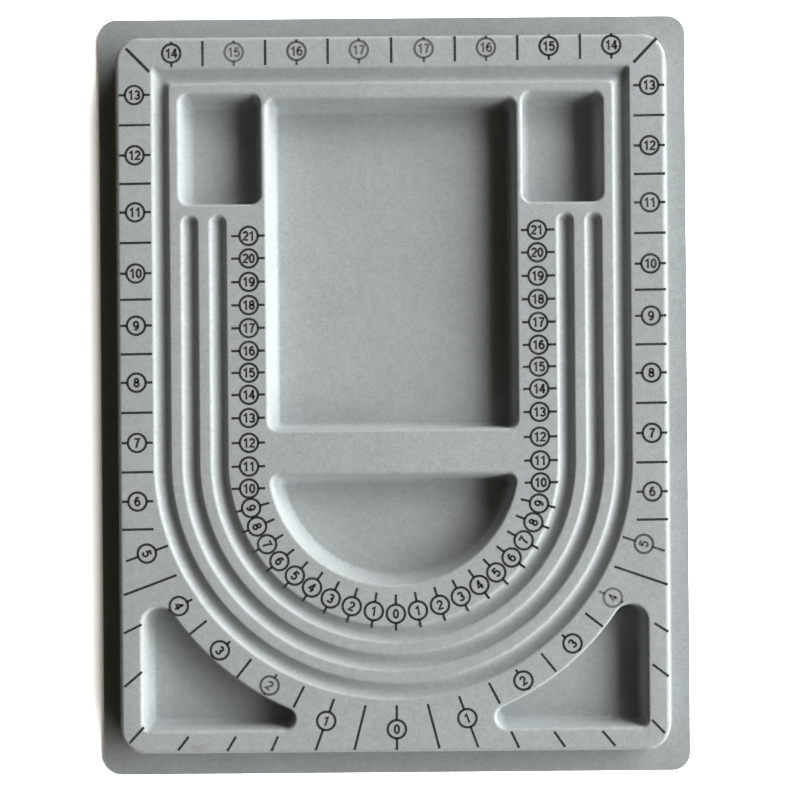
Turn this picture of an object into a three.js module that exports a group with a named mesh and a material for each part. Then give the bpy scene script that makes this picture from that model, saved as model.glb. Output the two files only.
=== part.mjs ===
import * as THREE from 'three';

// Bead board: a thin plastic sheet formed into a raised deck with trays and bead grooves, and the flock
// coat bonded over its top. Millimetres, +Z up. The origin is on the underside, below the middle of the
// board, and +Y runs towards the end with the two small trays. Plan sizes are those of the flocked face.

// Sheet and coat
const SHEET_THICKNESS = 0.6;
const BOND_LINE = 0.15;
const PILE_HEIGHT = 0.4;

// Levels, and the section of every wall
const BOARD_HEIGHT = 13;
const WALL_DRAFT = THREE.MathUtils.degToRad(6);
const LIP_RADIUS = 1.2;
const SHARPEST_LIP = 0.2;
const COVE_RADIUS = 2;

// Flange round the deck, whose outer edge is rounder than the edges of the trays
const FLANGE_SIDE_WIDTH = 10.8;
const FLANGE_END_WIDTH = 12.2;
const FLANGE_CORNER = 8;
const DECK_CORNER = 10.5;
const DECK_LIP_RADIUS = 2.4;

// Bead grooves: a closed loop outside two open ones, all round the same bend
const GROOVE_WIDTH = 7.2;
const GROOVE_DEPTH = 3.6;
const GROOVE_LIP = 1.2;
const GROOVE_LAND = 5.15;
const LOOP_CORNER = 1.8;

// Printed bands: centimetres inside the grooves, inches outside them
const CENTIMETRE_BAND = 17.75;
const INCH_BAND_SIDE = 16.05;
const INCH_BAND_TOP = 13.55;
const INCH_BAND_BOTTOM = 23.05;

// Central tray, and the half-moon tray below the plain strip
const CENTRAL_TRAY_WIDTH = 108.4;
const CENTRAL_TRAY_LENGTH = 144.4;
const CENTRAL_TRAY_DRAFT = THREE.MathUtils.degToRad(9);
const MIDDLE_STRIP = 19.2;
const HALF_MOON_DROP = 5.7;
const HALF_MOON_CORNER = 4;
const HALF_MOON_DRAFT = THREE.MathUtils.degToRad(14);
const TRAY_CORNER = 4.2;
const TIGHTEST_CORNER = 1.2;

// Small trays on both sides of the central one, which start a little higher
const END_TRAY_LENGTH = 48;
const END_TRAY_RISE = 2.2;
const END_TRAY_SIDE_LAND = 4.65;
const END_TRAY_COVE = 5;
const TRAY_TOP_LAND = 6.4;
const GROOVE_END_LAND = 4.7;
const RIDGE_HOLLOW = 0.6;

// Three-cornered trays outside the bend
const CORNER_TRAY_LAND = 13.4;
const CORNER_TRAY_MARGIN = 10;
const CORNER_TRAY_UPPER_TIP = 7.3;
const CORNER_TRAY_INNER_TIP = 4.9;
const CORNER_TRAY_HEEL = 3;

// Facets
const BEND_STEPS = 20;
const TRAY_ARC_STEPS = 10;
const CORNER_STEPS = 3;
const CAP_STEPS = 5;
const LIP_FACET = 1.2;
const COVE_FACET = 1.25;
const GROOVE_STEPS = 4;

const QUARTER = Math.PI / 2;
const HALF_TURN = Math.PI;
const THREE_QUARTERS = 3 * QUARTER;
const FULL_TURN = 2 * Math.PI;

// The kinds of wall
const TRAY_WALL = { draft: WALL_DRAFT, lipRadius: LIP_RADIUS, coveRadius: COVE_RADIUS };
const CENTRAL_TRAY_WALL = { ...TRAY_WALL, draft: CENTRAL_TRAY_DRAFT };
const DECK_WALL = { ...TRAY_WALL, lipRadius: DECK_LIP_RADIUS };
const END_TRAY_WALL = { ...TRAY_WALL, coveRadius: END_TRAY_COVE };
const HALF_MOON_WALL = { ...TRAY_WALL, draft: HALF_MOON_DRAFT };

// Levels that follow: the undersides of the floors and of the flange all lie at z = 0.
const SKIN_THICKNESS = PILE_HEIGHT + BOND_LINE + SHEET_THICKNESS;
const FLOOR_HEIGHT = SKIN_THICKNESS;

// Across the board, from the middle outwards
const TRAY_HALF_WIDTH = CENTRAL_TRAY_WIDTH / 2;
const GROOVE_HALF = GROOVE_WIDTH / 2;
const GROOVE_PITCH = GROOVE_WIDTH + GROOVE_LAND;
const INNER_BEND = TRAY_HALF_WIDTH + CENTIMETRE_BAND + GROOVE_HALF;
const MIDDLE_BEND = INNER_BEND + GROOVE_PITCH;
const OUTER_BEND = MIDDLE_BEND + GROOVE_PITCH;
const DECK_HALF_WIDTH = OUTER_BEND + GROOVE_HALF + INCH_BAND_SIDE;

// Along the board, first from the centre of the bend, then from the middle of the board
const BELOW_BEND = OUTER_BEND + GROOVE_HALF + INCH_BAND_BOTTOM;
const TRAY_ABOVE_BEND = MIDDLE_STRIP - HALF_MOON_DROP;
const LOOP_ABOVE_BEND = TRAY_ABOVE_BEND + CENTRAL_TRAY_LENGTH + TRAY_TOP_LAND + GROOVE_HALF;
const ABOVE_BEND = LOOP_ABOVE_BEND + GROOVE_HALF + INCH_BAND_TOP;
const DECK_HALF_LENGTH = (ABOVE_BEND + BELOW_BEND) / 2;
const BEND_Y = BELOW_BEND - DECK_HALF_LENGTH;
const LOOP_TOP = BEND_Y + LOOP_ABOVE_BEND;
const TRAY_BOTTOM = BEND_Y + TRAY_ABOVE_BEND;
const TRAY_TOP = TRAY_BOTTOM + CENTRAL_TRAY_LENGTH;
const HALF_MOON_TOP = BEND_Y - HALF_MOON_DROP;
const END_TRAY_TOP = TRAY_TOP + END_TRAY_RISE;
const END_TRAY_BOTTOM = END_TRAY_TOP - END_TRAY_LENGTH;
const GROOVE_END = END_TRAY_BOTTOM - GROOVE_END_LAND - GROOVE_HALF;

// The ridge between the trays is two walls with a hollow between them.
const RIDGE_WALLS = SKIN_THICKNESS / Math.cos(CENTRAL_TRAY_DRAFT) + SKIN_THICKNESS / Math.cos(WALL_DRAFT);
const RIDGE_WIDTH = RIDGE_HOLLOW + RIDGE_WALLS;
const END_TRAY_INNER = TRAY_HALF_WIDTH + RIDGE_WIDTH;
const END_TRAY_OUTER = OUTER_BEND - GROOVE_HALF - END_TRAY_SIDE_LAND;

const CORNER_TRAY_BEND = OUTER_BEND + GROOVE_HALF + CORNER_TRAY_LAND;
const CORNER_TRAY_SIDE = DECK_HALF_WIDTH - CORNER_TRAY_MARGIN;
const CORNER_TRAY_BOTTOM = CORNER_TRAY_MARGIN - DECK_HALF_LENGTH;

// Points of an arc, from one angle to another, both ends included.
function arc(x, y, radius, from, to, steps) {
  const points = [];
  for (let i = 0; i <= steps; i++) {
    const angle = from + (to - from) * i / steps;
    points.push(new THREE.Vector2(x + radius * Math.cos(angle), y + radius * Math.sin(angle)));
  }
  return points;
}

// Outlines run anticlockwise. A tray's outline takes the reach of its wall, measured inwards.
function rectangle(left, right, bottom, top, radius) {
  return [
    ...arc(right - radius, top - radius, radius, 0, QUARTER, CORNER_STEPS),
    ...arc(left + radius, top - radius, radius, QUARTER, HALF_TURN, CORNER_STEPS),
    ...arc(left + radius, bottom + radius, radius, HALF_TURN, THREE_QUARTERS, CORNER_STEPS),
    ...arc(right - radius, bottom + radius, radius, THREE_QUARTERS, FULL_TURN, CORNER_STEPS),
  ];
}

function innerCorner(radius, reach) {
  return Math.max(radius - reach, TIGHTEST_CORNER);
}

function deckOutline(reach) {
  const halfWidth = DECK_HALF_WIDTH + reach;
  const halfLength = DECK_HALF_LENGTH + reach;
  return rectangle(-halfWidth, halfWidth, -halfLength, halfLength, DECK_CORNER + reach);
}

function rimOutline() {
  const halfWidth = DECK_HALF_WIDTH + FLANGE_SIDE_WIDTH;
  const halfLength = DECK_HALF_LENGTH + FLANGE_END_WIDTH;
  return rectangle(-halfWidth, halfWidth, -halfLength, halfLength, FLANGE_CORNER);
}

function mirrored(outline) {
  return outline.map((point) => new THREE.Vector2(-point.x, point.y)).reverse();
}

function centralTray(reach) {
  const side = TRAY_HALF_WIDTH - reach;
  return rectangle(-side, side, TRAY_BOTTOM + reach, TRAY_TOP - reach, innerCorner(TRAY_CORNER, reach));
}

function rightEndTray(reach) {
  const corner = innerCorner(TRAY_CORNER, reach);
  return rectangle(END_TRAY_INNER + reach, END_TRAY_OUTER - reach, END_TRAY_BOTTOM + reach,
    END_TRAY_TOP - reach, corner);
}

// The half-moon tray is a disc as wide as the central tray, cut off by a straight edge.
function halfMoonTray(reach) {
  const corner = innerCorner(HALF_MOON_CORNER, reach);
  const radius = TRAY_HALF_WIDTH - reach;
  const cornerY = HALF_MOON_TOP - reach - corner;
  const cornerX = Math.sqrt((radius - corner) ** 2 - (cornerY - BEND_Y) ** 2);
  const tilt = Math.atan2(cornerY - BEND_Y, cornerX);
  return [
    ...arc(cornerX, cornerY, corner, tilt, QUARTER, CORNER_STEPS),
    ...arc(-cornerX, cornerY, corner, QUARTER, HALF_TURN - tilt, CORNER_STEPS),
    ...arc(0, BEND_Y, radius, HALF_TURN - tilt, FULL_TURN + tilt, BEND_STEPS).slice(1, -1),
  ];
}

// A corner tray has two straight sides and a hollow one that follows the bend.
function rightCornerTray(reach) {
  const side = CORNER_TRAY_SIDE - reach;
  const bottom = CORNER_TRAY_BOTTOM + reach;
  const bend = CORNER_TRAY_BEND + reach;
  const upper = innerCorner(CORNER_TRAY_UPPER_TIP, reach);
  const upperX = side - upper;
  const upperY = BEND_Y - Math.sqrt((bend + upper) ** 2 - upperX ** 2);
  const upperAngle = Math.atan2(upperY - BEND_Y, upperX);
  const inner = innerCorner(CORNER_TRAY_INNER_TIP, reach);
  const innerY = bottom + inner;
  const innerX = Math.sqrt((bend + inner) ** 2 - (innerY - BEND_Y) ** 2);
  const innerAngle = Math.atan2(innerY - BEND_Y, innerX);
  const heel = innerCorner(CORNER_TRAY_HEEL, reach);
  return [
    ...arc(upperX, upperY, upper, 0, upperAngle + HALF_TURN, CAP_STEPS),
    ...arc(0, BEND_Y, bend, upperAngle, innerAngle, TRAY_ARC_STEPS).slice(1, -1),
    ...arc(innerX, innerY, inner, innerAngle + HALF_TURN, THREE_QUARTERS, CAP_STEPS),
    ...arc(side - heel, bottom + heel, heel, THREE_QUARTERS, FULL_TURN, CORNER_STEPS),
  ];
}

// A groove's outlines take the distance from its middle line, outwards positive. The loop's upper corners
// are mitred, so all its outlines turn them on the same small radius.
function loopGroove(distance) {
  const side = OUTER_BEND + distance;
  const top = LOOP_TOP + distance;
  return [
    ...arc(side - LOOP_CORNER, top - LOOP_CORNER, LOOP_CORNER, 0, QUARTER, CORNER_STEPS),
    ...arc(LOOP_CORNER - side, top - LOOP_CORNER, LOOP_CORNER, QUARTER, HALF_TURN, CORNER_STEPS),
    ...arc(0, BEND_Y, side, HALF_TURN, FULL_TURN, BEND_STEPS),
  ];
}

function openGroove(bend, distance) {
  return [
    ...arc(0, BEND_Y, bend + distance, HALF_TURN, FULL_TURN, BEND_STEPS),
    ...arc(bend, GROOVE_END, distance, 0, HALF_TURN, CAP_STEPS),
    ...arc(0, BEND_Y, bend - distance, FULL_TURN, HALF_TURN, BEND_STEPS),
    ...arc(-bend, GROOVE_END, distance, 0, HALF_TURN, CAP_STEPS),
  ];
}

const END_TRAYS = [
  rightEndTray,
  (reach) => mirrored(rightEndTray(reach)),
];
const CORNER_TRAYS = [
  rightCornerTray,
  (reach) => mirrored(rightCornerTray(reach)),
];
const OPEN_GROOVES = [
  (distance) => openGroove(MIDDLE_BEND, distance),
  (distance) => openGroove(INNER_BEND, distance),
];

// Section of a wall whose face lies at an offset from the flocked face: x is the reach, y the height.
// It runs from the deck over the lip, down the drafted wall and round the cove to the floor or flange.
function wallSection(offset, { draft, lipRadius, coveRadius }) {
  const deck = BOARD_HEIGHT + offset;
  const foot = FLOOR_HEIGHT + offset;
  const lean = Math.tan(draft);
  const shift = offset / Math.cos(draft);
  const turn = Math.tan((QUARTER - draft) / 2);
  const lip = Math.max(lipRadius + offset, SHARPEST_LIP);
  const lipReach = shift - offset * lean - lip * turn;
  const lipSteps = Math.ceil(lipRadius / LIP_FACET);
  const cove = coveRadius - offset;
  const coveReach = shift + (BOARD_HEIGHT - foot) * lean + cove * turn;
  const coveSteps = Math.ceil(coveRadius / COVE_FACET);
  return [
    ...arc(lipReach, deck - lip, lip, QUARTER, draft, lipSteps),
    ...arc(coveReach, foot + cove, cove, HALF_TURN + draft, THREE_QUARTERS, coveSteps),
  ];
}

// Half section of a groove: x is the distance from its middle line, y the height. The bottom is round,
// and a groove deeper than half its width has upright sides above it.
function grooveSection(offset) {
  const shallow = (GROOVE_HALF ** 2 + GROOVE_DEPTH ** 2) / (2 * GROOVE_DEPTH);
  const bottomRadius = GROOVE_DEPTH < GROOVE_HALF ? shallow : GROOVE_HALF;
  const centre = BOARD_HEIGHT - GROOVE_DEPTH + bottomRadius;
  const radius = bottomRadius - offset;
  const lip = Math.max(GROOVE_LIP + offset, SHARPEST_LIP);
  const lipHeight = BOARD_HEIGHT + offset - lip;
  const rise = Math.max(centre - lipHeight, 0);
  const lipReach = Math.sqrt((radius + lip) ** 2 - rise ** 2);
  const lipSteps = Math.ceil(GROOVE_LIP / LIP_FACET);
  const spread = Math.atan2(lipReach, rise);
  return [
    ...arc(lipReach, lipHeight, lip, QUARTER, QUARTER + spread, lipSteps),
    ...arc(0, centre, radius, spread - QUARTER, spread / GROOVE_STEPS - QUARTER, GROOVE_STEPS - 1).slice(1),
  ];
}

function raised(outline, height) {
  return outline.map((point) => new THREE.Vector3(point.x, point.y, height));
}

// Corners of the triangles between rings of equal length, listed from the outermost ring inwards.
function stacked(rings) {
  const corners = [];
  for (let level = 1; level < rings.length; level++) {
    const outer = rings[level - 1];
    const inner = rings[level];
    for (let i = 0; i < outer.length; i++) {
      const next = (i + 1) % outer.length;
      corners.push(outer[i], outer[next], inner[next]);
      corners.push(outer[i], inner[next], inner[i]);
    }
  }
  return corners;
}

// Corners of the triangles of a flat face with holes.
function flat(outline, holes, height) {
  const points = raised([outline, ...holes].flat(), height);
  return THREE.ShapeUtils.triangulateShape(outline, holes).flat().map((index) => points[index]);
}

function pocket(outline, section) {
  const rings = section.map((point) => raised(outline(point.x), point.y));
  const foot = section.at(-1);
  return [...stacked(rings), ...flat(outline(foot.x), [], foot.y)];
}

// The whole face of the board at an offset from the flocked face, with its triangles facing up.
function skin(offset) {
  const wall = wallSection(offset, TRAY_WALL);
  const deckWall = wallSection(offset, DECK_WALL);
  const centralTrayWall = wallSection(offset, CENTRAL_TRAY_WALL);
  const endTrayWall = wallSection(offset, END_TRAY_WALL);
  const halfMoonWall = wallSection(offset, HALF_MOON_WALL);
  const groove = grooveSection(offset);
  const deck = BOARD_HEIGHT + offset;
  const wallEdge = wall[0].x;
  const grooveEdge = groove[0].x;
  const descent = groove.map((point) => raised(loopGroove(point.x), point.y));
  const ascent = groove.map((point) => raised(loopGroove(-point.x), point.y)).reverse();
  const outside = deckWall.map((point) => raised(deckOutline(point.x), point.y)).reverse();
  const rimEdges = [loopGroove(grooveEdge), ...CORNER_TRAYS.map((tray) => tray(wallEdge))];
  const fieldEdges = [
    centralTray(centralTrayWall[0].x),
    halfMoonTray(halfMoonWall[0].x),
    ...END_TRAYS.map((tray) => tray(endTrayWall[0].x)),
    ...OPEN_GROOVES.map((open) => open(grooveEdge)),
  ];
  return [
    ...stacked([raised(rimOutline(), FLOOR_HEIGHT + offset), ...outside]),
    ...flat(deckOutline(deckWall[0].x), rimEdges, deck),
    ...stacked([...descent, ...ascent]),
    ...flat(loopGroove(-grooveEdge), fieldEdges, deck),
    ...CORNER_TRAYS.flatMap((tray) => pocket(tray, wall)),
    ...pocket(centralTray, centralTrayWall),
    ...pocket(halfMoonTray, halfMoonWall),
    ...END_TRAYS.flatMap((tray) => pocket(tray, endTrayWall)),
    ...OPEN_GROOVES.flatMap((open) => pocket(open, groove)),
  ];
}

// A layer of the board between two offsets, closed along the cut edge of the flange.
function layer(name, low, high, material) {
  const edge = stacked([raised(rimOutline(), FLOOR_HEIGHT + low), raised(rimOutline(), FLOOR_HEIGHT + high)]);
  const corners = [...skin(high), ...edge, ...skin(low).reverse()];
  const geometry = new THREE.BufferGeometry().setFromPoints(corners);
  geometry.computeVertexNormals();
  const mesh = new THREE.Mesh(geometry, material);
  mesh.name = name;
  return mesh;
}

const plastic = new THREE.MeshStandardMaterial({ color: 0xd9dad6, roughness: 0.45, metalness: 0 });
const flock = new THREE.MeshStandardMaterial({ color: 0xa3a8a7, roughness: 1, metalness: 0 });

const beadBoard = new THREE.Group();
beadBoard.add(layer('formed_sheet', -SKIN_THICKNESS, -PILE_HEIGHT - BOND_LINE, plastic));
beadBoard.add(layer('flock_pile', -PILE_HEIGHT, 0, flock));

export default beadBoard;
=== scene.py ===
import math

import bmesh
import bpy
import numpy as np
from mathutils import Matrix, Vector
from mathutils.geometry import delaunay_2d_cdt


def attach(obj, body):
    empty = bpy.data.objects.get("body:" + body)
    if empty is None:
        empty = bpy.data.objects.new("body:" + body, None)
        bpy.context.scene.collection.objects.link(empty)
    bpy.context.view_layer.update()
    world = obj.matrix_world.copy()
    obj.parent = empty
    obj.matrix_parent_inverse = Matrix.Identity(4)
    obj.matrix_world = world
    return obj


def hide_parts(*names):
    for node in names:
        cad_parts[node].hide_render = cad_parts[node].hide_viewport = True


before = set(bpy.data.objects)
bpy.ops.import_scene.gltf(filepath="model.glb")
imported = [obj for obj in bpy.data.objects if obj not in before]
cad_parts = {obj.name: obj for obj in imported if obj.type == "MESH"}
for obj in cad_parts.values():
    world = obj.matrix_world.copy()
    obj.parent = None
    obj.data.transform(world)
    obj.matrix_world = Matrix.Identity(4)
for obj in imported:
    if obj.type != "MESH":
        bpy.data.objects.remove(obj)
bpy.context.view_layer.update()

# The formed shape, in millimetres, as in the part's source
SHEET_THICKNESS = 0.6
BOND_LINE = 0.15
PILE_HEIGHT = 0.4
BOARD_HEIGHT = 13.0
WALL_DRAFT = math.radians(6)
SHARPEST_LIP = 0.2
DECK_LIP_RADIUS = 2.4
COVE_RADIUS = 2.0
FLANGE_SIDE_WIDTH = 10.8
FLANGE_END_WIDTH = 12.2
FLANGE_CORNER = 8.0
DECK_CORNER = 10.5
GROOVE_WIDTH = 7.2
GROOVE_LAND = 5.15
LOOP_CORNER = 1.8
CENTIMETRE_BAND = 17.75
INCH_BAND_SIDE = 16.05
INCH_BAND_TOP = 13.55
INCH_BAND_BOTTOM = 23.05
CENTRAL_TRAY_WIDTH = 108.4
CENTRAL_TRAY_LENGTH = 144.4
CENTRAL_TRAY_DRAFT = math.radians(9)
MIDDLE_STRIP = 19.2
HALF_MOON_DROP = 5.7
HALF_MOON_CORNER = 4.0
HALF_MOON_DRAFT = math.radians(14)
TRAY_CORNER = 4.2
END_TRAY_LENGTH = 48.0
END_TRAY_RISE = 2.2
END_TRAY_SIDE_LAND = 4.65
TRAY_TOP_LAND = 6.4
GROOVE_END_LAND = 4.7
RIDGE_HOLLOW = 0.6
CORNER_TRAY_LAND = 13.4
CORNER_TRAY_MARGIN = 10.0
CORNER_TRAY_UPPER_TIP = 7.3
CORNER_TRAY_INNER_TIP = 4.9
CORNER_TRAY_HEEL = 3.0

# Edges and groove section, which are drawn finer than in the solids
LIP_RADIUS = 1.5
END_TRAY_COVE = 3.0
TIGHTEST_CORNER = 2.0
DRAWN_GROOVE_HALF = 3.2
DRAWN_GROOVE_DEPTH = 3.0
DRAWN_GROOVE_LIP = 1.4

# Facets, finer than in the solids
BEND_STEPS = 120
TRAY_ARC_STEPS = 48
CORNER_STEPS = 10
CAP_STEPS = 18
LIP_STEPS = 5
COVE_STEPS = 7
GROOVE_STEPS = 10

QUARTER = math.pi / 2
HALF_TURN = math.pi
THREE_QUARTERS = 3 * QUARTER
FULL_TURN = 2 * math.pi

SKIN_THICKNESS = PILE_HEIGHT + BOND_LINE + SHEET_THICKNESS
FLOOR_HEIGHT = SKIN_THICKNESS
TRAY_HALF_WIDTH = CENTRAL_TRAY_WIDTH / 2
GROOVE_HALF = GROOVE_WIDTH / 2
GROOVE_PITCH = GROOVE_WIDTH + GROOVE_LAND
INNER_BEND = TRAY_HALF_WIDTH + CENTIMETRE_BAND + GROOVE_HALF
MIDDLE_BEND = INNER_BEND + GROOVE_PITCH
OUTER_BEND = MIDDLE_BEND + GROOVE_PITCH
DECK_HALF_WIDTH = OUTER_BEND + GROOVE_HALF + INCH_BAND_SIDE
BELOW_BEND = OUTER_BEND + GROOVE_HALF + INCH_BAND_BOTTOM
TRAY_ABOVE_BEND = MIDDLE_STRIP - HALF_MOON_DROP
LOOP_ABOVE_BEND = TRAY_ABOVE_BEND + CENTRAL_TRAY_LENGTH + TRAY_TOP_LAND + GROOVE_HALF
ABOVE_BEND = LOOP_ABOVE_BEND + GROOVE_HALF + INCH_BAND_TOP
DECK_HALF_LENGTH = (ABOVE_BEND + BELOW_BEND) / 2
BEND_Y = BELOW_BEND - DECK_HALF_LENGTH
LOOP_TOP = BEND_Y + LOOP_ABOVE_BEND
TRAY_BOTTOM = BEND_Y + TRAY_ABOVE_BEND
TRAY_TOP = TRAY_BOTTOM + CENTRAL_TRAY_LENGTH
HALF_MOON_TOP = BEND_Y - HALF_MOON_DROP
END_TRAY_TOP = TRAY_TOP + END_TRAY_RISE
END_TRAY_BOTTOM = END_TRAY_TOP - END_TRAY_LENGTH
GROOVE_END = END_TRAY_BOTTOM - GROOVE_END_LAND - GROOVE_HALF
RIDGE_WALLS = SKIN_THICKNESS * (1 / math.cos(CENTRAL_TRAY_DRAFT) + 1 / math.cos(WALL_DRAFT))
RIDGE_WIDTH = RIDGE_HOLLOW + RIDGE_WALLS
END_TRAY_INNER = TRAY_HALF_WIDTH + RIDGE_WIDTH
END_TRAY_OUTER = OUTER_BEND - GROOVE_HALF - END_TRAY_SIDE_LAND
CORNER_TRAY_BEND = OUTER_BEND + GROOVE_HALF + CORNER_TRAY_LAND
CORNER_TRAY_SIDE = DECK_HALF_WIDTH - CORNER_TRAY_MARGIN
CORNER_TRAY_BOTTOM = CORNER_TRAY_MARGIN - DECK_HALF_LENGTH

MM = 0.001


# Outlines

def arc(x, y, radius, start, end, steps):
    turn = np.linspace(start, end, steps + 1)
    return np.column_stack([x + radius * np.cos(turn), y + radius * np.sin(turn)])


def rectangle(left, right, bottom, top, radius):
    return np.vstack([
        arc(right - radius, top - radius, radius, 0, QUARTER, CORNER_STEPS),
        arc(left + radius, top - radius, radius, QUARTER, HALF_TURN, CORNER_STEPS),
        arc(left + radius, bottom + radius, radius, HALF_TURN, THREE_QUARTERS, CORNER_STEPS),
        arc(right - radius, bottom + radius, radius, THREE_QUARTERS, FULL_TURN, CORNER_STEPS),
    ])


def inner_corner(radius, reach):
    return max(radius - reach, TIGHTEST_CORNER)


def deck_outline(reach):
    half_width = DECK_HALF_WIDTH + reach
    half_length = DECK_HALF_LENGTH + reach
    return rectangle(-half_width, half_width, -half_length, half_length, DECK_CORNER + reach)


def rim_outline():
    half_width = DECK_HALF_WIDTH + FLANGE_SIDE_WIDTH
    half_length = DECK_HALF_LENGTH + FLANGE_END_WIDTH
    return rectangle(-half_width, half_width, -half_length, half_length, FLANGE_CORNER)


def mirrored(outline):
    return (outline * [-1, 1])[::-1]


def central_tray(reach):
    side = TRAY_HALF_WIDTH - reach
    return rectangle(-side, side, TRAY_BOTTOM + reach, TRAY_TOP - reach, inner_corner(TRAY_CORNER, reach))


def right_end_tray(reach):
    return rectangle(END_TRAY_INNER + reach, END_TRAY_OUTER - reach, END_TRAY_BOTTOM + reach,
                     END_TRAY_TOP - reach, inner_corner(TRAY_CORNER, reach))


def left_end_tray(reach):
    return mirrored(right_end_tray(reach))


def half_moon_tray(reach):
    corner = inner_corner(HALF_MOON_CORNER, reach)
    radius = TRAY_HALF_WIDTH - reach
    corner_y = HALF_MOON_TOP - reach - corner
    corner_x = math.sqrt((radius - corner) ** 2 - (corner_y - BEND_Y) ** 2)
    tilt = math.atan2(corner_y - BEND_Y, corner_x)
    return np.vstack([
        arc(corner_x, corner_y, corner, tilt, QUARTER, CORNER_STEPS),
        arc(-corner_x, corner_y, corner, QUARTER, HALF_TURN - tilt, CORNER_STEPS),
        arc(0, BEND_Y, radius, HALF_TURN - tilt, FULL_TURN + tilt, BEND_STEPS)[1:-1],
    ])


def right_corner_tray(reach):
    side = CORNER_TRAY_SIDE - reach
    bottom = CORNER_TRAY_BOTTOM + reach
    bend = CORNER_TRAY_BEND + reach
    upper = inner_corner(CORNER_TRAY_UPPER_TIP, reach)
    upper_x = side - upper
    upper_y = BEND_Y - math.sqrt((bend + upper) ** 2 - upper_x ** 2)
    upper_angle = math.atan2(upper_y - BEND_Y, upper_x)
    inner = inner_corner(CORNER_TRAY_INNER_TIP, reach)
    inner_y = bottom + inner
    inner_x = math.sqrt((bend + inner) ** 2 - (inner_y - BEND_Y) ** 2)
    inner_angle = math.atan2(inner_y - BEND_Y, inner_x)
    heel = inner_corner(CORNER_TRAY_HEEL, reach)
    return np.vstack([
        arc(upper_x, upper_y, upper, 0, upper_angle + HALF_TURN, CAP_STEPS),
        arc(0, BEND_Y, bend, upper_angle, inner_angle, TRAY_ARC_STEPS)[1:-1],
        arc(inner_x, inner_y, inner, inner_angle + HALF_TURN, THREE_QUARTERS, CAP_STEPS),
        arc(side - heel, bottom + heel, heel, THREE_QUARTERS, FULL_TURN, CORNER_STEPS),
    ])


def left_corner_tray(reach):
    return mirrored(right_corner_tray(reach))


def loop_groove(distance):
    side = OUTER_BEND + distance
    top = LOOP_TOP + distance
    return np.vstack([
        arc(side - LOOP_CORNER, top - LOOP_CORNER, LOOP_CORNER, 0, QUARTER, CORNER_STEPS),
        arc(LOOP_CORNER - side, top - LOOP_CORNER, LOOP_CORNER, QUARTER, HALF_TURN, CORNER_STEPS),
        arc(0, BEND_Y, side, HALF_TURN, FULL_TURN, BEND_STEPS),
    ])


def open_groove(bend):
    def outline(distance):
        return np.vstack([
            arc(0, BEND_Y, bend + distance, HALF_TURN, FULL_TURN, BEND_STEPS),
            arc(bend, GROOVE_END, distance, 0, HALF_TURN, CAP_STEPS),
            arc(0, BEND_Y, bend - distance, FULL_TURN, HALF_TURN, BEND_STEPS),
            arc(-bend, GROOVE_END, distance, 0, HALF_TURN, CAP_STEPS),
        ])
    return outline


END_TRAYS = [right_end_tray, left_end_tray]
CORNER_TRAYS = [right_corner_tray, left_corner_tray]
OPEN_GROOVES = [open_groove(MIDDLE_BEND), open_groove(INNER_BEND)]


# Sections: rows of reach, height and pile wear with painted shade: 1 where the pile is worn off, -1 where the
# flange is darkened as painted shade

# -1 marks the flange, whose flock colour is darkened there as painted shade
PAINTED_SHADE_MARK = -1.0
LIP_WEAR = np.sin(np.linspace(0, HALF_TURN, LIP_STEPS + 1))


def with_wear(points, wear):
    return np.column_stack([points, wear])


def wall_section(offset, draft, lip_radius, cove_radius):
    deck = BOARD_HEIGHT + offset
    foot = FLOOR_HEIGHT + offset
    lean = math.tan(draft)
    shift = offset / math.cos(draft)
    turn = math.tan((QUARTER - draft) / 2)
    lip = max(lip_radius + offset, SHARPEST_LIP)
    lip_reach = shift - offset * lean - lip * turn
    cove = cove_radius - offset
    cove_reach = shift + (BOARD_HEIGHT - foot) * lean + cove * turn
    lip_points = arc(lip_reach, deck - lip, lip, QUARTER, draft, LIP_STEPS)
    cove_points = arc(cove_reach, foot + cove, cove, HALF_TURN + draft, THREE_QUARTERS, COVE_STEPS)
    return np.vstack([with_wear(lip_points, LIP_WEAR), with_wear(cove_points, np.zeros(len(cove_points)))])


def groove_section(offset):
    bottom_radius = (DRAWN_GROOVE_HALF ** 2 + DRAWN_GROOVE_DEPTH ** 2) / (2 * DRAWN_GROOVE_DEPTH)
    centre = BOARD_HEIGHT - DRAWN_GROOVE_DEPTH + bottom_radius
    radius = bottom_radius - offset
    lip = max(DRAWN_GROOVE_LIP + offset, SHARPEST_LIP)
    lip_height = BOARD_HEIGHT + offset - lip
    rise = max(centre - lip_height, 0)
    lip_reach = math.sqrt((radius + lip) ** 2 - rise ** 2)
    spread = math.atan2(lip_reach, rise)
    lip_points = arc(lip_reach, lip_height, lip, QUARTER, QUARTER + spread, LIP_STEPS)
    last_turn = spread / GROOVE_STEPS - QUARTER
    arc_points = arc(0, centre, radius, spread - QUARTER, last_turn, GROOVE_STEPS - 1)[1:]
    return np.vstack([with_wear(lip_points, LIP_WEAR), with_wear(arc_points, np.zeros(len(arc_points)))])


# Meshes

# Edges that turn by more than this stay sharp
BOARD_CREASE = math.radians(50)
PRINT_CREASE = math.radians(30)


def inside(points, outline):
    """Which points lie inside a closed outline."""
    x, y = points[:, :1], points[:, 1:]
    x0, y0 = outline.T
    x1, y1 = np.roll(outline, -1, axis=0).T
    span = np.where(y1 == y0, 1.0, y1 - y0)
    crossed = ((y0 > y) != (y1 > y)) & (x < x0 + (x1 - x0) * (y - y0) / span)
    return crossed.sum(axis=1) % 2 == 1


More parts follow.
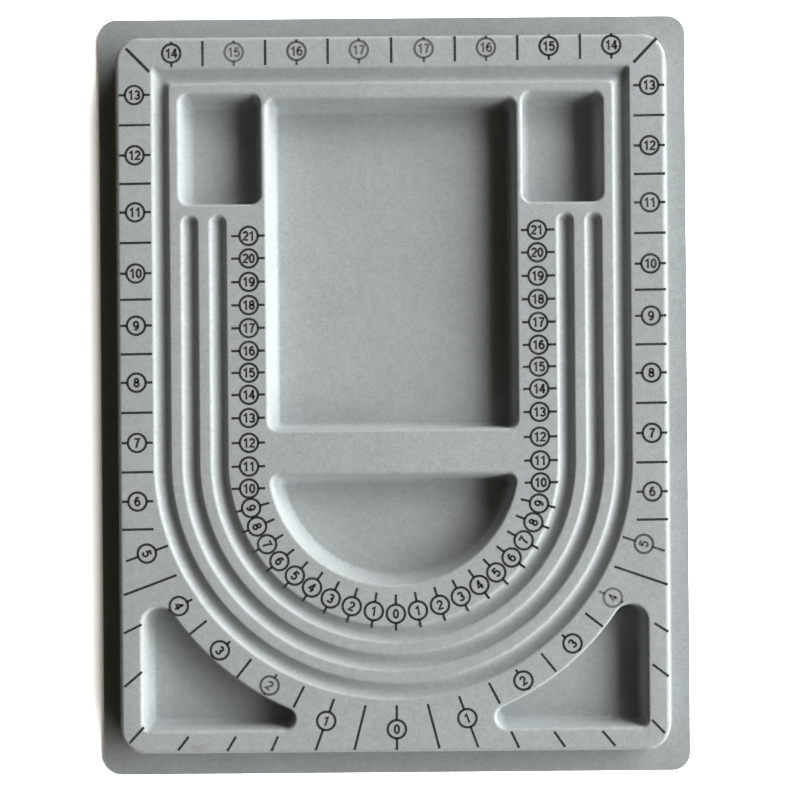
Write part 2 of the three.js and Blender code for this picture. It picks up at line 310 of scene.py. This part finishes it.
class Shell:
    """Points, faces, and pile wear with painted flange shade of one piece, in millimetres."""

    def __init__(self):
        self.points = np.zeros((0, 3))
        self.wear = []
        self.faces = []

    def ring(self, outline, height, wear=0.0):
        first = len(self.points)
        self.points = np.vstack([self.points, np.column_stack([outline, np.full(len(outline), height)])])
        self.wear += [wear] * len(outline)
        return list(range(first, first + len(outline)))

    def stack(self, rings):
        """Faces between rings of equal length, listed from the outermost inwards."""
        for outer, inner in zip(rings, rings[1:]):
            for i in range(len(outer)):
                j = (i + 1) % len(outer)
                self.faces.append((outer[i], outer[j], inner[j], inner[i]))

    def flat(self, outer, holes=()):
        """Faces of a level area between a ring and the rings of its holes."""
        loops = [outer, *holes]
        index = [i for loop in loops for i in loop]
        edges, start = [], 0
        for loop in loops:
            edges += [(start + i, start + (i + 1) % len(loop)) for i in range(len(loop))]
            start += len(loop)
        spots = [Vector(self.points[i, :2]) for i in index]
        made, _, triangles, origin, _, _ = delaunay_2d_cdt(spots, edges, [], 0, 1e-6)
        flat_points = np.array([tuple(v) for v in made])
        corners = np.array(triangles)
        middle = flat_points[corners].mean(axis=1)
        kept = inside(middle, self.points[outer, :2])
        for hole in holes:
            kept &= ~inside(middle, self.points[hole, :2])
        for a, b, c in corners[kept]:
            side = np.cross(flat_points[b] - flat_points[a], flat_points[c] - flat_points[a])
            order = (a, b, c) if side > 0 else (a, c, b)
            self.faces.append(tuple(index[origin[i][0]] for i in order))

    def pocket(self, outline, section):
        rings = [self.ring(outline(reach), height, wear) for reach, height, wear in section]
        self.stack(rings)
        self.flat(rings[-1])
        return rings[0]

    def skin(self, offset):
        """The whole face of the board at an offset from the flocked face, facing up."""
        deck_wall = wall_section(offset, WALL_DRAFT, DECK_LIP_RADIUS, COVE_RADIUS)
        wall = wall_section(offset, WALL_DRAFT, LIP_RADIUS, COVE_RADIUS)
        central_tray_wall = wall_section(offset, CENTRAL_TRAY_DRAFT, LIP_RADIUS, COVE_RADIUS)
        end_tray_wall = wall_section(offset, WALL_DRAFT, LIP_RADIUS, END_TRAY_COVE)
        half_moon_wall = wall_section(offset, HALF_MOON_DRAFT, LIP_RADIUS, COVE_RADIUS)
        groove = groove_section(offset)
        # The deck wall's foot and the rim carry the mark, so the whole flange gets painted shade
        deck_wall[-1, 2] = PAINTED_SHADE_MARK
        edge = self.ring(rim_outline(), FLOOR_HEIGHT + offset, PAINTED_SHADE_MARK)
        outside = [self.ring(deck_outline(reach), height, wear) for reach, height, wear in deck_wall[::-1]]
        self.stack([edge, *outside])
        descent = [self.ring(loop_groove(reach), height, wear) for reach, height, wear in groove]
        ascent = [self.ring(loop_groove(-reach), height, wear) for reach, height, wear in groove[::-1]]
        self.stack([*descent, *ascent])
        self.flat(outside[-1], [descent[0], *[self.pocket(tray, wall) for tray in CORNER_TRAYS]])
        pockets = [self.pocket(central_tray, central_tray_wall), self.pocket(half_moon_tray, half_moon_wall)]
        pockets += [self.pocket(tray, end_tray_wall) for tray in END_TRAYS]
        pockets += [self.pocket(outline, groove) for outline in OPEN_GROOVES]
        self.flat(ascent[-1], pockets)
        return edge

    def layer(self, low, high):
        """A closed layer of the board between two offsets."""
        upper = self.skin(high)
        turned = len(self.faces)
        lower = self.skin(low)
        self.faces[turned:] = [face[::-1] for face in self.faces[turned:]]
        self.stack([lower, upper])


def finished(name, mesh, crease):
    mesh.shade_smooth()
    mesh.set_sharp_from_angle(angle=crease)
    piece = bpy.data.objects.new(name, mesh)
    bpy.context.scene.collection.objects.link(piece)
    return piece


def board_layer(name, low, high):
    shell = Shell()
    shell.layer(low, high)
    mesh = bpy.data.meshes.new(name)
    mesh.from_pydata((shell.points * MM).tolist(), [], shell.faces)
    # Pile wear on the lips, and the mark for painted shade on the flange
    wear = mesh.attributes.new("wear", "FLOAT", "POINT")
    wear.data.foreach_set("value", shell.wear)
    piece = finished(name, mesh, BOARD_CREASE)
    weighted = piece.modifiers.new("weighted_normals", "WEIGHTED_NORMAL")
    weighted.mode = "FACE_AREA"
    weighted.keep_sharp = True
    return piece


# Both layers by their offsets from the flocked face; the coat ends just clear of the sheet
COAT_CLEARANCE = 0.03
SHEET_TOP = -PILE_HEIGHT - BOND_LINE
flock = board_layer("flock_coat", SHEET_TOP + COAT_CLEARANCE, 0)
sheet = board_layer("plastic_sheet", -SKIN_THICKNESS, SHEET_TOP)


# Scales: thin prints on the deck, in millimetres. The print sits a little askew on the board.

INK_RISE = 0.03
INK_SINK = 0.03
LINE_WIDTH = 1.06
BOLD_LINE_WIDTH = 1.3
RING_RADIUS = 3.97
RING_STEPS = 56
DIGIT_HEIGHT = 4.2
DIGIT_PITCH = 2.7
DIGIT_LINE = 0.94
SHARPEST_MITRE = 0.6
PRINT_SHIFT = 0.6

# Places of the rings' middles. A pair of ticks gives the distance from there to the end of each tick.
INCH_SLANT = 0.0112
INCH_SIDE_X = 112.0
INCH_SIDE_Y = {13: 132.1, 12: 105.9, 11: 81.1, 10: 54.5, 9: 31.8, 8: 7.0, 7: -19.2, 6: -44.7}
INCH_SIDE_OUT, INCH_SIDE_IN = 6.7, 6.9
BELOW_SIX_Y = -69.0
INCH_BEND = {5: (108.1, -67.4), 4: (94.4, -90.5), 3: (76.7, -110.1), 2: (55.2, -125.8), 1: (30.7, -141.7)}
INCH_BEND_TICKS = {5: (9.8, 9.6), 4: (6.6, 5.0), 3: (6.0, 4.6), 2: (5.8, 4.6), 1: (10.2, 13.6)}
INCH_BEND_CENTRES = {5: -29.0, 4: -45.0, 3: -45.0, 2: -45.0, 1: -58.0}
INCH_ZERO_Y = -145.9
INCH_ZERO_UP, INCH_ZERO_DOWN = 10.4, 9.0
INCH_TOP = {17: 14.1, 16: 41.2, 15: 68.5, 14: 95.7}
INCH_TOP_Y = 149.9
INCH_TOP_UP, INCH_TOP_DOWN = 5.1, 6.0
INCH_TOP_LINE_DOWN = 5.9
# Lines of the inch scale on both sides of the board, then the short ones at its bottom corners
CORNER_LINE = ((115.4, 152.4), (105.3, 142.0))
BEND_LINES = (
    ((95.2, -77.0), (118.3, -85.3)),
    ((82.3, -97.0), (90.0, -103.1)),
    ((63.0, -114.1), (69.5, -122.2)),
    ((40.2, -126.5), (44.9, -135.6)),
    ((13.5, -135.2), (18.5, -154.6)),
)
EDGE_LINES = (
    ((-110.6, -98.2), (-118.3, -101.9)), ((112.4, -102.0), (118.4, -105.8)),
    ((-110.6, -118.8), (-118.3, -125.2)), ((111.4, -119.8), (118.4, -125.2)),
    ((-110.0, -142.9), (-116.3, -149.7)), ((111.0, -144.0), (116.6, -149.9)),
    ((-90.6, -147.4), (-95.2, -153.2)), ((89.4, -148.4), (95.0, -155.0)),
    ((-70.0, -147.7), (-73.8, -154.0)), ((68.4, -148.2), (73.1, -155.0)),
    ((-51.7, -148.0), (-54.6, -154.3)), ((49.7, -147.8), (53.1, -155.0)),
)
CENTIMETRE_SIDE_SLANT = 0.0128
CENTIMETRE_BEND_SLANT = 0.007
CENTIMETRE_TOP_NUMBER = 21
CENTIMETRE_TOP_X = 62.7
CENTIMETRE_STEP_X = 0.064
CENTIMETRE_SIDE_OUT, CENTIMETRE_SIDE_IN = 7.6, 7.0
CENTIMETRE_SIDE_Y = {21: 70.0, 20: 60.2, 19: 50.0, 18: 39.9, 17: 29.9, 16: 20.0, 15: 10.5, 14: 0.9,
                     13: -9.2, 12: -20.0, 11: -30.3, 10: -39.9}
CENTIMETRE_BEND = {9: (62.6, -48.7), 8: (60.1, -56.8), 7: (55.8, -64.6), 6: (50.5, -72.0), 5: (43.8, -78.4),
                   4: (36.4, -83.7), 3: (28.3, -88.6), 2: (19.2, -92.1), 1: (9.6, -94.4)}
CENTIMETRE_BEND_IN, CENTIMETRE_BEND_OUT = 8.2, 7.4
CENTIMETRE_CENTRE_Y = -32.4
CENTIMETRE_ZERO_Y = -95.7
CENTIMETRE_ZERO_UP, CENTIMETRE_ZERO_DOWN = 8.4, 7.4


def oval(y, half_width, half_height, start=0.0, end=FULL_TURN, steps=20):
    turn = np.linspace(start, end, steps + 1)
    return np.column_stack([half_width * np.cos(turn), y + half_height * np.sin(turn)])


def open_stroke(*points):
    return np.array(points, dtype=float), False


def bowl(y, half_width, half_height, start, end):
    return oval(y, half_width, half_height, math.radians(start), math.radians(end)), False


def loop(y, half_width, half_height):
    return oval(y, half_width, half_height)[:-1], True


SIX = [loop(-0.15, 0.22, 0.26), bowl(-0.08, 0.22, 0.49, 50, 180)]
TWO_HEAD = oval(0.18, 0.21, 0.23, math.radians(170), math.radians(-35))
# Middle lines of the numbers, for a height of 1
DIGITS = {
    "0": [loop(0, 0.22, 0.41)],
    "1": [open_stroke((-0.2, 0.2), (0.05, 0.4), (0.05, -0.5))],
    "2": [(np.vstack([TWO_HEAD, [(-0.24, -0.41), (0.26, -0.41)]]), False)],
    "3": [bowl(0.2, 0.2, 0.21, 160, -95), bowl(-0.2, 0.23, 0.21, 95, -160)],
    "4": [open_stroke((0.11, -0.5), (0.11, 0.5)), open_stroke((0.09, 0.42), (-0.24, -0.18), (0.31, -0.18))],
    "5": [open_stroke((0.24, 0.41), (-0.15, 0.41), (-0.2, -0.02)), bowl(-0.14, 0.23, 0.27, 145, -155)],
    "6": SIX,
    "7": [open_stroke((-0.25, 0.41), (0.23, 0.41), (0.03, -0.02), (-0.07, -0.5))],
    "8": [loop(0.21, 0.185, 0.2), loop(-0.19, 0.22, 0.22)],
    "9": [(-path, closed) for path, closed in SIX],
}


class Print:
    """Rings, lines and numbers of one scale as closed, very thin solids."""

    def __init__(self, slant):
        self.slant = slant
        self.mesh = bmesh.new()

    def place(self, x, y):
        return x + PRINT_SHIFT, y + x * self.slant

    def prism(self, outer, inner=None):
        low, high = BOARD_HEIGHT - INK_SINK, BOARD_HEIGHT + INK_RISE
        def points(outline, height):
            return [self.mesh.verts.new((x * MM, y * MM, height * MM)) for x, y in outline]
        bottom, top = points(outer, low), points(outer, high)
        count = len(outer)
        for i in range(count):
            j = (i + 1) % count
            self.mesh.faces.new((bottom[i], bottom[j], top[j], top[i]))
        if inner is None:
            self.mesh.faces.new(top)
            self.mesh.faces.new(bottom[::-1])
            return
        hole_bottom, hole_top = points(inner, low), points(inner, high)
        for i in range(count):
            j = (i + 1) % count
            self.mesh.faces.new((hole_bottom[j], hole_bottom[i], hole_top[i], hole_top[j]))
            self.mesh.faces.new((top[i], top[j], hole_top[j], hole_top[i]))
            self.mesh.faces.new((bottom[j], bottom[i], hole_bottom[i], hole_bottom[j]))

    def line(self, start, end, width=LINE_WIDTH):
        start, end = np.array(self.place(*start)), np.array(self.place(*end))
        along = (end - start) / np.linalg.norm(end - start)
        across = np.array([-along[1], along[0]]) * width / 2
        self.prism([start - across, end - across, end + across, start + across])

    def stroke(self, path, closed):
        """A band of even width along a path."""
        ahead, behind = np.roll(path, -1, axis=0) - path, path - np.roll(path, 1, axis=0)
        if not closed:
            ahead[-1], behind[0] = behind[-1], ahead[0]
        ahead /= np.linalg.norm(ahead, axis=1, keepdims=True)
        behind /= np.linalg.norm(behind, axis=1, keepdims=True)
        along = ahead + behind
        along /= np.linalg.norm(along, axis=1, keepdims=True)
        mitre = np.clip((along * ahead).sum(axis=1, keepdims=True), SHARPEST_MITRE, 1)
        across = np.column_stack([along[:, 1], -along[:, 0]]) / mitre * DIGIT_LINE / 2
        if closed:
            self.prism(path + across, path - across)
        else:
            self.prism(np.vstack([path + across, (path - across)[::-1]]))

    def number(self, text, x, y, turn):
        middle = np.array(self.place(x, y))
        aim = np.array([[math.cos(turn), math.sin(turn)], [-math.sin(turn), math.cos(turn)]])
        for place, digit in enumerate(text):
            along = (place - (len(text) - 1) / 2) * DIGIT_PITCH
            for path, closed in DIGITS[digit]:
                self.stroke(middle + (path * DIGIT_HEIGHT + [along, 0]) @ aim, closed)

    def ring(self, number, x, y, turn=0.0, ticks=()):
        """A numbered ring. Each tick is its direction and the distance from the middle to its end."""
        px, py = self.place(x, y)
        self.prism(arc(px, py, RING_RADIUS + LINE_WIDTH / 2, 0, FULL_TURN, RING_STEPS)[:-1],
                   arc(px, py, RING_RADIUS - LINE_WIDTH / 2, 0, FULL_TURN, RING_STEPS)[:-1])
        for angle, end in ticks:
            step = np.array([math.cos(angle), math.sin(angle)])
            at = np.array([x, y])
            self.line(at + step * RING_RADIUS, at + step * end)
        self.number(str(number), x, y, turn)

    def piece(self, name):
        bmesh.ops.recalc_face_normals(self.mesh, faces=self.mesh.faces)
        mesh = bpy.data.meshes.new(name)
        self.mesh.to_mesh(mesh)
        self.mesh.free()
        return finished(name, mesh, PRINT_CREASE)


def towards_centre(x, y, centre_y):
    """Direction from a point on a bend to the bend's middle, and the turn of a number that reads that way."""
    angle = math.atan2(centre_y - y, -x)
    return angle, angle - QUARTER


SIDES = (-1, 1)

inches = Print(INCH_SLANT)
side_ys = list(INCH_SIDE_Y.values())
for side in SIDES:
    outwards = 0 if side > 0 else HALF_TURN
    for number, y in INCH_SIDE_Y.items():
        ticks = [(outwards, INCH_SIDE_OUT), (outwards + HALF_TURN, INCH_SIDE_IN)]
        inches.ring(number, side * INCH_SIDE_X, y, ticks=ticks)
    for above, below in zip(side_ys, side_ys[1:] + [BELOW_SIX_Y]):
        y = (above + below) / 2
        inches.line((side * (INCH_SIDE_X + INCH_SIDE_OUT), y), (side * (INCH_SIDE_X - INCH_SIDE_IN), y))
    for number, (x, y) in INCH_BEND.items():
        inwards, turn = towards_centre(side * x, y, INCH_BEND_CENTRES[number])
        to_inside, to_outside = INCH_BEND_TICKS[number]
        inches.ring(number, side * x, y, turn, [(inwards, to_inside), (inwards + HALF_TURN, to_outside)])
    for number, x in INCH_TOP.items():
        ticks = [(QUARTER, INCH_TOP_UP), (-QUARTER, INCH_TOP_DOWN)]
        inches.ring(number, side * x, INCH_TOP_Y, ticks=ticks)
    (x, y), end = CORNER_LINE
    inches.line((side * x, y), (side * end[0], end[1]), BOLD_LINE_WIDTH)
    for start, end in BEND_LINES:
        inches.line((side * start[0], start[1]), (side * end[0], end[1]))
inches.ring(0, 0, INCH_ZERO_Y, ticks=[(QUARTER, INCH_ZERO_UP), (-QUARTER, INCH_ZERO_DOWN)])
top_xs = sorted(side * x for side in SIDES for x in INCH_TOP.values())
for left, right in zip(top_xs, top_xs[1:]):
    x = (left + right) / 2
    inches.line((x, INCH_TOP_Y + INCH_TOP_UP), (x, INCH_TOP_Y - INCH_TOP_LINE_DOWN))
for start, end in EDGE_LINES:
    inches.line(start, end)

centimetres = Print(CENTIMETRE_SIDE_SLANT)
for side in SIDES:
    outwards = 0 if side > 0 else HALF_TURN
    for number, y in CENTIMETRE_SIDE_Y.items():
        x = CENTIMETRE_TOP_X + (CENTIMETRE_TOP_NUMBER - number) * CENTIMETRE_STEP_X
        ticks = [(outwards, CENTIMETRE_SIDE_OUT), (outwards + HALF_TURN, CENTIMETRE_SIDE_IN)]
        centimetres.ring(number, side * x, y, ticks=ticks)
centimetres.slant = CENTIMETRE_BEND_SLANT
for side in SIDES:
    for number, (x, y) in CENTIMETRE_BEND.items():
        inwards, turn = towards_centre(side * x, y, CENTIMETRE_CENTRE_Y)
        ticks = [(inwards, CENTIMETRE_BEND_IN), (inwards + HALF_TURN, CENTIMETRE_BEND_OUT)]
        centimetres.ring(number, side * x, y, turn, ticks)
zero_ticks = [(QUARTER, CENTIMETRE_ZERO_UP), (-QUARTER, CENTIMETRE_ZERO_DOWN)]
centimetres.ring(0, 0, CENTIMETRE_ZERO_Y, ticks=zero_ticks)

inch_scale = inches.piece("inch_scale")
centimetre_scale = centimetres.piece("centimetre_scale")


# Materials. Colours are linear; a noise is its scale per metre, detail and roughness.

BLACK = (0, 0, 0, 1)
WHITE = (1, 1, 1, 1)

FLOCK_DARK = (0.1125, 0.1205, 0.1215, 1)
FLOCK_LIGHT = (0.615, 0.657, 0.664, 1)
FLOCK_WORN = (0.52, 0.55, 0.552, 1)
FLOCK_GRAIN = (1500, 3, 0.65)
FLOCK_CLUMPS = (420, 3, 0.6)
FLOCK_MOTTLE = (38, 3, 0.55)
GRAIN_SWING = 0.09
CLUMPS_SWING = 0.06
MOTTLE_SWING = 0.03
LEAST_WEAR, MOST_WEAR = 0.15, 0.45
# How far the flange's flock is darkened towards black, as painted shade
PAINTED_SHADE_DEPTH = 0.12
CLUMPS_IN_PILE = 0.6
STAIN_SPOT = (-85.5, -153.4, 5.5, 2.2)
STAIN_SHARE = 0.3
STAIN_COLOUR = (0.22, 0.21, 0.18, 1)

PLASTIC_DARK = (0.70, 0.71, 0.69, 1)
PLASTIC_LIGHT = (0.79, 0.80, 0.78, 1)
PLASTIC_CLOUD = (26, 4, 0.6)
PLASTIC_PEEL = (520, 2, 0.5)
SCUFFS = (60, 5, 0.7)
SCUFF_STRETCH = (1, 14, 1)
SCUFF_SHARE = 0.25
SCUFF_COLOUR = (0.55, 0.55, 0.53, 1)
SMOOTHEST, ROUGHEST = 0.36, 0.58

INK_FRESH = (0.012, 0.013, 0.014, 1)
INK_FADED = (0.42, 0.44, 0.435, 1)
INK_FIBRES = (1600, 3, 0.65)
INK_PATCHES = (55, 2, 0.5)
FIBRE_FADE = 0.2
PATCH_FADE = 0.08
# Places where the print has faded, and how far
FADED_RADIUS = 13
FADED = ((-68, 150, 0.28), (-41, 150, 0.15), (-13, 151, 0.25), (15, 151, 0.22), (42, 151, 0.18),
         (96, -89, 0.3), (109, -67, 0.15), (-55, -126, 0.15))


def shader_nodes(name):
    material = bpy.data.materials.new(name)
    material.use_nodes = True
    tree = material.node_tree
    tree.nodes.clear()
    output = tree.nodes.new("ShaderNodeOutputMaterial")
    return material, tree, output


def add(tree, kind, inputs=None, **settings):
    node = tree.nodes.new(kind)
    for key, value in settings.items():
        setattr(node, key, value)
    for key, value in (inputs or {}).items():
        if isinstance(value, bpy.types.NodeSocket):
            tree.links.new(value, node.inputs[key])
        else:
            node.inputs[key].default_value = value
    return node


def board_place(tree):
    return add(tree, "ShaderNodeTexCoord").outputs["Object"]


def noise(tree, place, scale, detail, roughness):
    inputs = {"Vector": place, "Scale": scale, "Detail": detail, "Roughness": roughness}
    return add(tree, "ShaderNodeTexNoise", inputs).outputs["Fac"]


def remap(tree, value, from_low, from_high, to_low, to_high, smooth=False):
    inputs = {"Value": value, "From Min": from_low, "From Max": from_high, "To Min": to_low, "To Max": to_high}
    kind = "SMOOTHSTEP" if smooth else "LINEAR"
    return add(tree, "ShaderNodeMapRange", inputs, interpolation_type=kind).outputs["Result"]


def calc(tree, operation, a, b):
    return add(tree, "ShaderNodeMath", {0: a, 1: b}, operation=operation).outputs["Value"]


def mixed(tree, share, first, second):
    node = add(tree, "ShaderNodeMix", {"Factor": share, 6: first, 7: second}, data_type="RGBA")
    return node.outputs[2]


def spot(tree, place, x, y, half_x, half_y):
    """1 in the middle of a soft oval patch on the board, 0 outside it. Millimetres."""
    moved = add(tree, "ShaderNodeMapping", {"Vector": place, "Location": (-x * MM, -y * MM, 0)},
                vector_type="POINT").outputs["Vector"]
    sized = add(tree, "ShaderNodeVectorMath", {0: moved, 1: (1 / (half_x * MM), 1 / (half_y * MM), 0)},
                operation="MULTIPLY").outputs["Vector"]
    length = add(tree, "ShaderNodeVectorMath", {0: sized}, operation="LENGTH").outputs["Value"]
    return remap(tree, length, 1.0, 0.35, 0.0, 1.0, smooth=True)


def bump(tree, height, strength, distance):
    inputs = {"Strength": strength, "Distance": distance, "Height": height}
    return add(tree, "ShaderNodeBump", inputs).outputs["Normal"]


def principled(tree, output, inputs):
    surface = add(tree, "ShaderNodeBsdfPrincipled", inputs)
    tree.links.new(surface.outputs["BSDF"], output.inputs["Surface"])


def flock_material():
    material, tree, output = shader_nodes("grey_flock")
    place = board_place(tree)
    grain = noise(tree, place, *FLOCK_GRAIN)
    clumps = noise(tree, place, *FLOCK_CLUMPS)
    mottle = noise(tree, place, *FLOCK_MOTTLE)
    tone = calc(tree, "ADD", remap(tree, grain, 0.25, 0.75, -GRAIN_SWING, GRAIN_SWING),
                remap(tree, clumps, 0.25, 0.75, -CLUMPS_SWING, CLUMPS_SWING))
    tone = calc(tree, "ADD", tone, remap(tree, mottle, 0.3, 0.7, -MOTTLE_SWING, MOTTLE_SWING))
    tone = calc(tree, "ADD", tone, 0.5)
    colour = mixed(tree, tone, FLOCK_DARK, FLOCK_LIGHT)
    # Pile wear on the lips, and the mark for painted shade on the flange
    wear = add(tree, "ShaderNodeAttribute", attribute_name="wear").outputs["Fac"]
    worn = calc(tree, "MULTIPLY", remap(tree, wear, 0.0, 1.0, 0.0, 1.0),
                remap(tree, clumps, 0.3, 0.7, LEAST_WEAR, MOST_WEAR))
    colour = mixed(tree, worn, colour, FLOCK_WORN)
    # Painted shade: the flange's flock is darkened towards black
    colour = mixed(tree, remap(tree, wear, 0.0, PAINTED_SHADE_MARK, 0.0, PAINTED_SHADE_DEPTH), colour, BLACK)
    stain = calc(tree, "MULTIPLY", spot(tree, place, *STAIN_SPOT), STAIN_SHARE)
    colour = mixed(tree, stain, colour, STAIN_COLOUR)
    pile = calc(tree, "ADD", grain, calc(tree, "MULTIPLY", clumps, CLUMPS_IN_PILE))
    principled(tree, output, {
        "Base Color": colour, "Roughness": 0.95, "Specular IOR Level": 0.15, "Sheen Weight": 0.15,
        "Sheen Roughness": 0.5, "Sheen Tint": (0.9, 0.95, 0.94, 1), "Normal": bump(tree, pile, 0.45, 0.00022)})
    return material


def sheet_material():
    material, tree, output = shader_nodes("formed_plastic")
    place = board_place(tree)
    cloud = noise(tree, place, *PLASTIC_CLOUD)
    peel = noise(tree, place, *PLASTIC_PEEL)
    stretched = add(tree, "ShaderNodeMapping", {"Vector": place, "Scale": SCUFF_STRETCH}).outputs["Vector"]
    scuffs = noise(tree, stretched, *SCUFFS)
    colour = mixed(tree, remap(tree, cloud, 0.3, 0.7, 0.0, 1.0), PLASTIC_DARK, PLASTIC_LIGHT)
    colour = mixed(tree, remap(tree, scuffs, 0.62, 0.74, 0.0, SCUFF_SHARE), colour, SCUFF_COLOUR)
    roughness = remap(tree, scuffs, 0.3, 0.75, SMOOTHEST, ROUGHEST)
    principled(tree, output, {
        "Base Color": colour, "Roughness": roughness, "Specular IOR Level": 0.5,
        "Normal": bump(tree, peel, 0.2, 0.0002)})
    return material


def ink_material():
    material, tree, output = shader_nodes("scale_ink")
    place = board_place(tree)
    fibres = noise(tree, place, *INK_FIBRES)
    patches = noise(tree, place, *INK_PATCHES)
    fade = remap(tree, patches, 0.5, 0.8, 0.0, PATCH_FADE, smooth=True)
    for x, y, most in FADED:
        faded = calc(tree, "MULTIPLY", spot(tree, place, x, y, FADED_RADIUS, FADED_RADIUS), most)
        fade = calc(tree, "ADD", fade, faded)
    fade = calc(tree, "ADD", fade, remap(tree, fibres, 0.45, 0.8, 0.0, FIBRE_FADE))
    colour = mixed(tree, fade, INK_FRESH, INK_FADED)
    principled(tree, output, {
        "Base Color": colour, "Roughness": 0.85, "Specular IOR Level": 0.2,
        "Normal": bump(tree, fibres, 0.4, 0.00015)})
    return material


flock.data.materials.append(flock_material())
sheet.data.materials.append(sheet_material())
ink = ink_material()
for scale in (inch_scale, centimetre_scale):
    scale.data.materials.append(ink)

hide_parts("flock_pile")
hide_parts("formed_sheet")
for piece in (flock, sheet, inch_scale, centimetre_scale):
    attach(piece, "root")


# Stage: a white table, one wide soft window to the right of the board, a little warm light from all round

TABLE_HALF = 1.5
TABLE_CLEARANCE = 0.0001
TABLE_PLAIN = (0.8, 0.8, 0.8, 1)
TABLE_SEEN = (3.3, 3.3, 3.25, 1)
TABLE_GLOW = 0.1
FILL = 0.022
FILL_COLOUR = (1.3, 1.1, 0.55, 1)
WINDOW_DISTANCE = 4.0
# Lowest and highest edge, side and half width in degrees as the board sees them, then watts per square metre
WINDOWS = {
    "window_near": (5, 35, -37, 20, 15.0),
    "window_middle": (5, 35, 3, 20, 27.2),
    "window_far": (5, 35, 43, 20, 26.8),
    "window_top": (35, 46, 3, 40, 13.2),
}


def seen_ray(tree):
    """1 for the rays that show the background itself, 0 for those that carry its light."""
    path = add(tree, "ShaderNodeLightPath").outputs
    mirrored_or_clear = calc(tree, "MAXIMUM", path["Is Glossy Ray"], path["Is Transmission Ray"])
    return calc(tree, "MAXIMUM", path["Is Camera Ray"], mirrored_or_clear)


def table_material():
    material, tree, output = shader_nodes("white_table")
    plain = add(tree, "ShaderNodeBsdfDiffuse", {"Color": TABLE_PLAIN}).outputs["BSDF"]
    bright = add(tree, "ShaderNodeBsdfDiffuse", {"Color": TABLE_SEEN}).outputs["BSDF"]
    glow = add(tree, "ShaderNodeEmission", {"Color": WHITE, "Strength": TABLE_GLOW}).outputs["Emission"]
    shown = add(tree, "ShaderNodeAddShader", {0: bright, 1: glow}).outputs["Shader"]
    mix = add(tree, "ShaderNodeMixShader", {0: seen_ray(tree), 1: plain, 2: shown}).outputs["Shader"]
    tree.links.new(mix, output.inputs["Surface"])
    return material


def window(name, low, high, side, half_width, power):
    lamp = bpy.data.lights.new(name, "AREA")
    lamp.shape = "RECTANGLE"
    lamp.size = 2 * WINDOW_DISTANCE * math.tan(math.radians(half_width))
    lamp.size_y = 2 * WINDOW_DISTANCE * math.tan(math.radians((high - low) / 2))
    lamp.energy = power * lamp.size * lamp.size_y
    height, turn = math.radians((low + high) / 2), math.radians(side)
    out = Vector((math.cos(height) * math.cos(turn), math.cos(height) * math.sin(turn), math.sin(height)))
    holder = bpy.data.objects.new(name, lamp)
    holder.location = out * WINDOW_DISTANCE
    holder.rotation_euler = (-out).to_track_quat("-Z", "Y").to_euler()
    scene.collection.objects.link(holder)


scene = bpy.context.scene
corners = [(x * TABLE_HALF, y * TABLE_HALF, 0) for x, y in ((-1, -1), (1, -1), (1, 1), (-1, 1))]
table_mesh = bpy.data.meshes.new("table")
table_mesh.from_pydata(corners, [], [(0, 1, 2, 3)])
table_mesh.materials.append(table_material())
table = bpy.data.objects.new("table", table_mesh)
table.location.z = -TABLE_CLEARANCE
scene.collection.objects.link(table)

world = bpy.data.worlds.new("studio")
world.use_nodes = True
scene.world = world
world_tree = world.node_tree
world_tree.nodes.clear()
seen = seen_ray(world_tree)
sky = add(world_tree, "ShaderNodeBackground", {
    "Color": mixed(world_tree, seen, FILL_COLOUR, WHITE),
    "Strength": remap(world_tree, seen, 0.0, 1.0, FILL, 1.0)})
add(world_tree, "ShaderNodeOutputWorld", {"Surface": sky.outputs["Background"]})

for name, settings in WINDOWS.items():
    window(name, *settings)

camera_data = bpy.data.cameras.new("camera")
camera_data.lens = 48.63
camera_data.sensor_width = 36.0
camera_data.shift_x = -0.0712
camera_data.shift_y = 0.07
camera_data.clip_start = 0.01
camera_data.clip_end = 50.0
camera = bpy.data.objects.new("camera", camera_data)
camera.location = (0.0277, -0.0273, 0.483)
camera.rotation_euler = (0, 0, math.radians(-0.48))
scene.collection.objects.link(camera)
scene.camera = camera

scene.view_settings.view_transform = "Standard"
